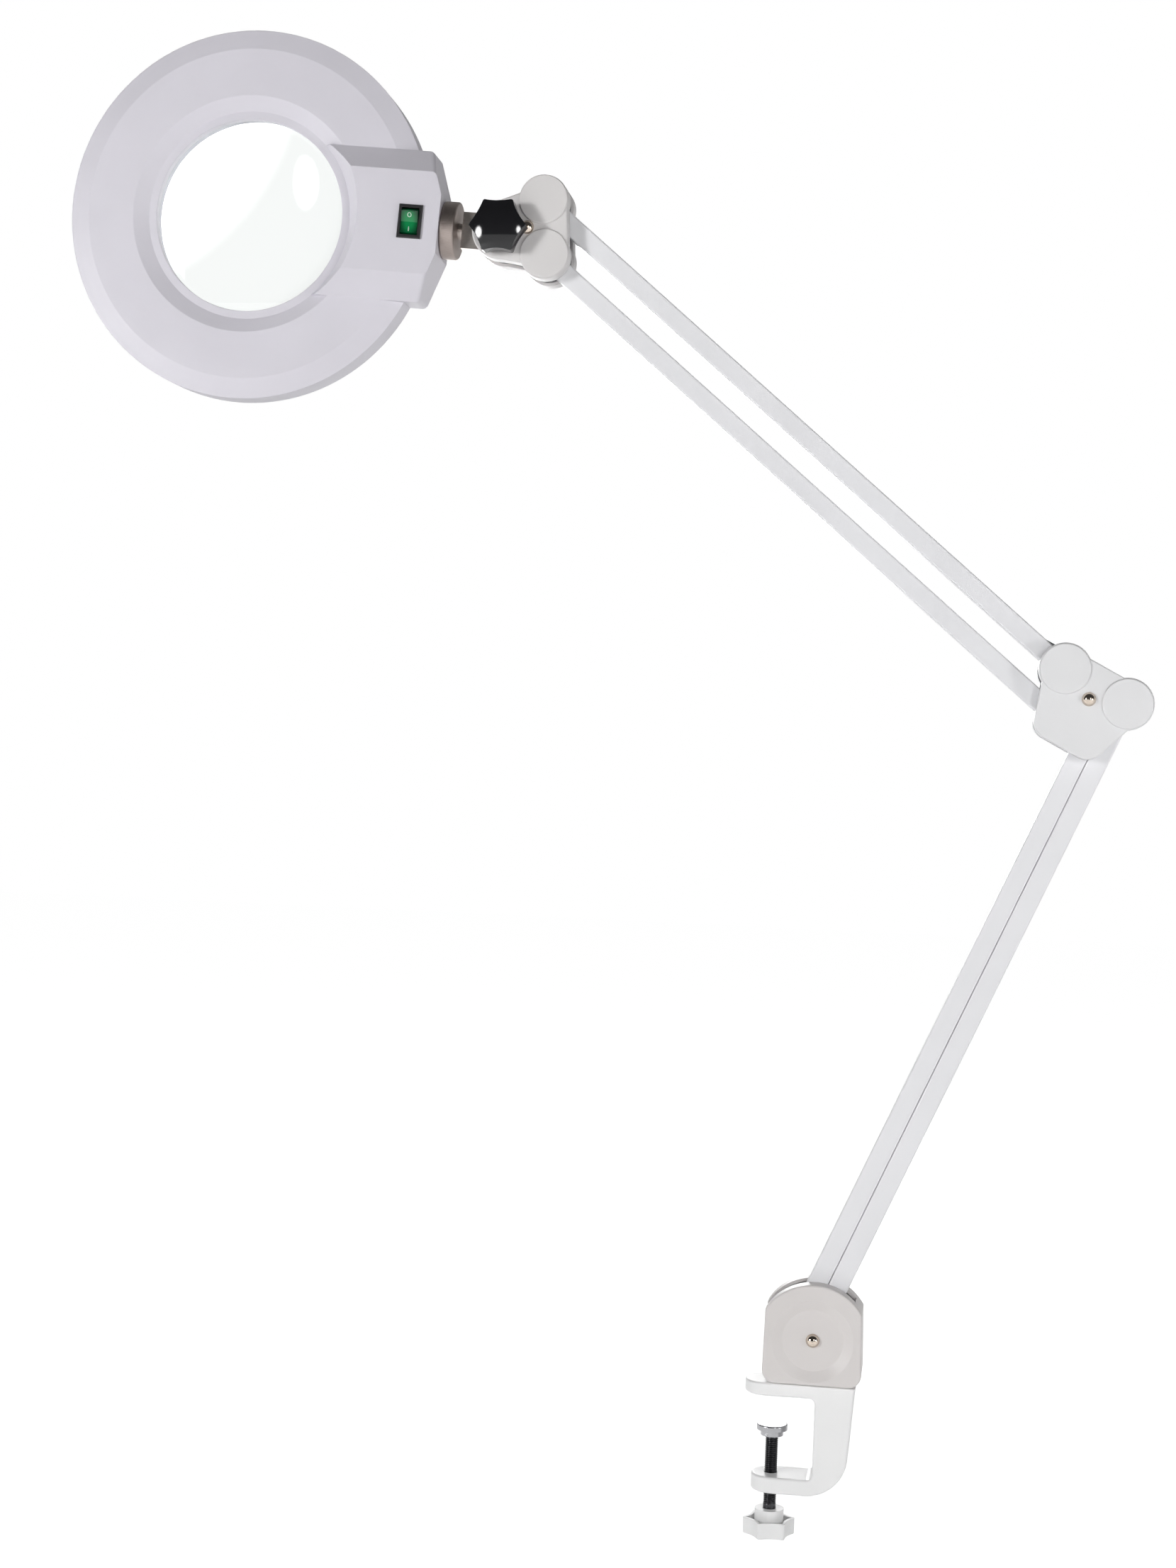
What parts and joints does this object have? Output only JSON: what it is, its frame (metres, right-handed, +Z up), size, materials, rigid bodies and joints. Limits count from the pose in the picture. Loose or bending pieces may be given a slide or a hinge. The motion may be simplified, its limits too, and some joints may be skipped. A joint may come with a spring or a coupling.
{
  "type": "magnifying lamp",
  "caption": "Desk-clamp magnifying lamp with a round lens in a light ring, two parallelogram arms of square tube, a tilting neck and a swivelling base.",
  "frame": {"origin": "middle of the underside of the clamp's upper jaw, the face that sits on the desk top", "axes": "+Z up; the arms move in the XZ plane; -Y is the side with the tilt knob and the switch; the clamp opens towards -X"},
  "size_m": [0.6915, 0.0527, 0.9307],
  "materials": {
    "white_cast": "bright white powder coat on a die casting",
    "white_tube": "cool white paint on square steel tube",
    "white_cover": "fine-textured white moulding",
    "head_plastic": "fine-textured cool white moulding",
    "handle_plastic": "satin white moulding",
    "black_plastic": "glossy black moulding",
    "switch_black": "satin black moulding",
    "switch_green": "translucent green moulding",
    "nylon": "natural nylon",
    "plug_plastic": "light grey moulding",
    "chrome": "polished chrome plate",
    "zinc_steel": "zinc-plated steel",
    "satin_nickel": "turned and satin nickel-plated",
    "black_steel": "black oxide",
    "spring_steel": "drawn spring wire",
    "brass": "turned brass",
    "glass": "polished clear optical glass",
    "gasket_rubber": "soft white rubber",
    "diffuser": "opal acrylic",
    "board_white": "white solder mask on a circuit board",
    "led": "white LED packages with yellow phosphor",
    "board_green": "green solder mask on a circuit board"
  },
  "bodies": {
    "clamp": {"clamp_frame": "white_cast", "grub_screw": "black_steel"},
    "clamp_pad": {"clamp_pad": "satin_nickel", "pad_pin": "zinc_steel"},
    "clamp_screw": {"clamp_screw": "black_steel", "clamp_handle": "handle_plastic"},
    "base": {"base_yoke": "zinc_steel", "base_cover_front": "white_cover", "base_cover_back": "white_cover", "base_sleeve": "zinc_steel", "base_bolt_and_nut": "chrome", "base_pins": "zinc_steel", "base_washers": "nylon", "swivel_washer": "nylon"},
    "lower_arm": {"lower_bar_right": "white_tube", "lower_bar_right_plugs": "plug_plastic", "lower_spring": "spring_steel", "lower_spring_rivet": "zinc_steel"},
    "lower_link": {"lower_bar_left": "white_tube", "lower_bar_left_plugs": "plug_plastic"},
    "elbow": {"elbow_plates": "zinc_steel", "elbow_cover_front": "white_cover", "elbow_cover_back": "white_cover", "elbow_pins": "zinc_steel", "elbow_washers": "nylon", "elbow_standoff": "zinc_steel", "elbow_cover_screw": "chrome"},
    "upper_arm": {"upper_bar_top": "white_tube", "upper_bar_top_plugs": "plug_plastic", "upper_spring": "spring_steel", "upper_spring_rivet": "zinc_steel"},
    "upper_link": {"upper_bar_bottom": "white_tube", "upper_bar_bottom_plugs": "plug_plastic"},
    "wrist": {"wrist_plates": "zinc_steel", "wrist_cover_front": "white_cover", "wrist_cover_back": "white_cover", "wrist_pins": "zinc_steel", "wrist_washers": "nylon", "wrist_standoff": "zinc_steel", "wrist_cover_screw": "chrome", "tilt_bolt": "zinc_steel", "tilt_spacer": "satin_nickel"},
    "knob_washer": {"knob_washer": "zinc_steel"},
    "tilt_knob": {"tilt_knob": "black_plastic", "knob_insert": "brass"},
    "knuckle": {"knuckle_lug": "satin_nickel", "neck_nut": "zinc_steel"},
    "head": {"head_top_shell": "head_plastic", "head_bottom_shell": "head_plastic", "head_screws": "zinc_steel", "lens": "glass", "lens_gasket": "gasket_rubber", "diffuser_ring": "diffuser", "led_board": "board_white", "leds": "led", "driver_board": "board_green", "dc_inlet": "switch_black", "switch_body": "switch_black", "neck_flange": "satin_nickel"},
    "rocker": {"switch_rocker": "switch_green"}
  },
  "joints": [
    {"name": "clamp_screw_travel", "type": "slide", "parent": "clamp", "child": "clamp_pad", "axis": [0, 0, 1], "range_m": [-0.022, 0.012]},
    {"name": "clamp_screw_turn", "type": "hinge", "parent": "clamp_pad", "child": "clamp_screw", "pos_m": [-0.0035, 0, -0.05], "axis": [0, 0, 1], "range_deg": [-6337, 3457]},
    {"name": "base_swivel", "type": "hinge", "parent": "clamp", "child": "base", "pos_m": [0.034, 0, 0.009], "axis": [0, 0, 1], "continuous": true},
    {"name": "lower_arm_swing", "type": "hinge", "parent": "base", "child": "lower_arm", "pos_m": [0.02, 0, 0.036], "axis": [0, -1, 0], "range_deg": [0, 80], "deforming": ["lower_spring"]},
    {"name": "lower_link_swing", "type": "hinge", "parent": "base", "child": "lower_link", "pos_m": [0.0007, 0, 0.02263], "axis": [0, -1, 0], "range_deg": [0, 80]},
    {"name": "elbow_level", "type": "hinge", "parent": "lower_arm", "child": "elbow", "pos_m": [0.19364, 0, 0.43157], "axis": [0, -1, 0], "range_deg": [-80, 0]},
    {"name": "upper_arm_swing", "type": "hinge", "parent": "elbow", "child": "upper_arm", "pos_m": [0.15615, 0, 0.45158], "axis": [0, -1, 0], "range_deg": [-20, 60], "deforming": ["upper_spring"]},
    {"name": "upper_link_swing", "type": "hinge", "parent": "elbow", "child": "upper_link", "pos_m": [0.15773, 0, 0.41812], "axis": [0, -1, 0], "range_deg": [-20, 60]},
    {"name": "wrist_level", "type": "hinge", "parent": "upper_arm", "child": "wrist", "pos_m": [-0.17234, 0, 0.73215], "axis": [0, -1, 0], "range_deg": [-60, 20]},
    {"name": "knob_washer_travel", "type": "slide", "parent": "wrist", "child": "knob_washer", "axis": [0, -1, 0], "range_m": [0, 0.00098]},
    {"name": "tilt_knob_turn", "type": "hinge", "parent": "knob_washer", "child": "tilt_knob", "pos_m": [-0.1985, -0.022, 0.71354], "axis": [0, -1, 0], "range_deg": [0, 355]},
    {"name": "head_tilt", "type": "hinge", "parent": "wrist", "child": "knuckle", "pos_m": [-0.1985, 0, 0.71354], "axis": [0, -1, 0], "range_deg": [-60, 45]},
    {"name": "head_roll", "type": "hinge", "parent": "knuckle", "child": "head", "pos_m": [-0.1985, 0, 0.71354], "axis": [-0.9976, 0, 0.0698], "range_deg": [-45, 225]},
    {"name": "rocker_switch", "type": "hinge", "parent": "head", "child": "rocker", "pos_m": [-0.25596, -0.0173, 0.71756], "axis": [0.9976, 0, -0.0698], "range_deg": [-18, 0]}
  ],
  "couplings": [
    {"joint": "clamp_screw_turn", "follows": "clamp_screw_travel", "rad_per_m": 5026.5},
    {"joint": "lower_link_swing", "follows": "lower_arm_swing", "ratio": 1},
    {"joint": "elbow_level", "follows": "lower_arm_swing", "ratio": -1},
    {"joint": "upper_link_swing", "follows": "upper_arm_swing", "ratio": 1},
    {"joint": "wrist_level", "follows": "upper_arm_swing", "ratio": -1},
    {"joint": "tilt_knob_turn", "follows": "knob_washer_travel", "rad_per_m": 6283.2}
  ]
}
